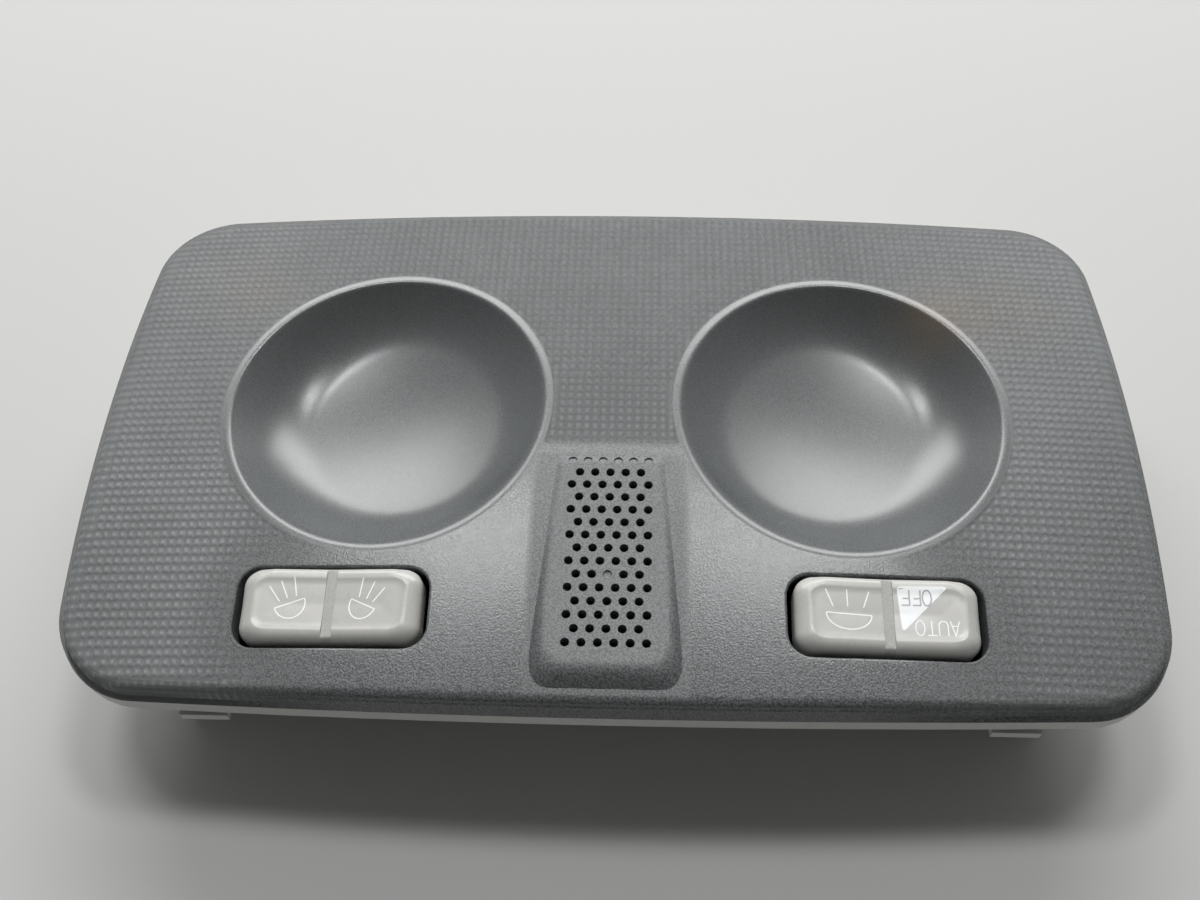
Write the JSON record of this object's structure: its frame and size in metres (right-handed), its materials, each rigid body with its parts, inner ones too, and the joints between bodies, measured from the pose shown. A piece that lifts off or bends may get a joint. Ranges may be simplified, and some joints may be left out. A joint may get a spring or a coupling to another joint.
{
  "type": "car dome light",
  "caption": "Crowned overhead car light: smoked cover with round lamp dishes, a microphone grille and rocker switches over a grey rear tray.",
  "frame": {"origin": "middle of the bounding box's underside, on the plane of the tray's back rim", "axes": "+X along the width, to the right seen from the front; +Y away from the edge with the switches; +Z out of the cover"},
  "size_m": [0.196, 0.11, 0.0381],
  "materials": {
    "smoked_cover": "satin, smoked translucent plastic with a fine grain",
    "grey_plastic": "light grey moulded plastic",
    "key_plastic": "semi-gloss light grey, printed white marks",
    "dark_plastic": "black moulded plastic",
    "spring_steel": "blank spring steel",
    "brass_strip": "stamped strip, dulled",
    "can_metal": "drawn metal",
    "tungsten": "coiled wire",
    "bulb_glass": "clear",
    "foam": "open-cell foam",
    "rubber_boot": "soft black rubber",
    "circuit_board": "green laminate"
  },
  "bodies": {
    "light": {"lens": "smoked_cover", "rear_housing": "grey_plastic", "switch_frame_left": "dark_plastic", "switch_frame_right": "dark_plastic", "fulcrum_left": "brass_strip", "fulcrum_right": "brass_strip", "contacts_left": "brass_strip", "contacts_right": "brass_strip", "bulb_glass_left": "bulb_glass", "bulb_glass_right": "bulb_glass", "bulb_caps_left": "can_metal", "bulb_caps_right": "can_metal", "filament_left": "tungsten", "filament_right": "tungsten", "bulb_clips_left": "brass_strip", "bulb_clips_right": "brass_strip", "spring_clip_left": "spring_steel", "spring_clip_right": "spring_steel", "bus_supply": "brass_strip", "bus_ground": "brass_strip", "bus_door": "brass_strip", "bus_lamp": "brass_strip", "grille_foam": "foam", "mic_boot": "rubber_boot", "mic_capsule": "can_metal", "mic_board": "circuit_board"},
    "flap": {"bulb_flap": "grey_plastic"},
    "key_left": {"rocker_left": "key_plastic", "plunger_spring_left": "spring_steel"},
    "pin_left": {"plunger_left": "dark_plastic"},
    "blade_left": {"seesaw_left": "brass_strip"},
    "key_right": {"rocker_right": "key_plastic", "plunger_spring_right": "spring_steel"},
    "pin_right": {"plunger_right": "dark_plastic"},
    "blade_right": {"seesaw_right": "brass_strip"}
  },
  "joints": [
    {"name": "flap_hinge", "type": "hinge", "parent": "light", "child": "flap", "pos_m": [0, 0.0234, 0.0019], "axis": [1, 0, 0], "range_deg": [0, 100]},
    {"name": "key_left_rock", "type": "hinge", "parent": "light", "child": "key_left", "pos_m": [-0.04745, -0.03715, 0.02858], "axis": [-0.0037, 0.9952, 0.0981], "range_deg": [-6.5, 6.5]},
    {"name": "pin_left_slide", "type": "slide", "parent": "key_left", "child": "pin_left", "axis": [-0.0378, -0.0982, 0.9944], "range_m": [0, 0.0008], "stiffness_N_per_m": 300, "deforming": ["plunger_spring_left"]},
    {"name": "blade_left_tip", "type": "hinge", "parent": "light", "child": "blade_left", "pos_m": [-0.04704, -0.03609, 0.01784], "axis": [-0.0037, 0.9952, 0.0981], "range_deg": [-4.6, 4.6]},
    {"name": "key_right_rock", "type": "hinge", "parent": "light", "child": "key_right", "pos_m": [0.04745, -0.03715, 0.02858], "axis": [0.0037, 0.9952, 0.0981], "range_deg": [-6.5, 6.5]},
    {"name": "pin_right_slide", "type": "slide", "parent": "key_right", "child": "pin_right", "axis": [0.0378, -0.0982, 0.9944], "range_m": [0, 0.0008], "stiffness_N_per_m": 300, "deforming": ["plunger_spring_right"]},
    {"name": "blade_right_tip", "type": "hinge", "parent": "light", "child": "blade_right", "pos_m": [0.04704, -0.03609, 0.01784], "axis": [0.0037, 0.9952, 0.0981], "range_deg": [-4.6, 4.6]}
  ],
  "couplings": [
    {"joint": "blade_left_tip", "follows": "key_left_rock", "ratio": -0.7},
    {"joint": "blade_right_tip", "follows": "key_right_rock", "ratio": -0.7}
  ]
}
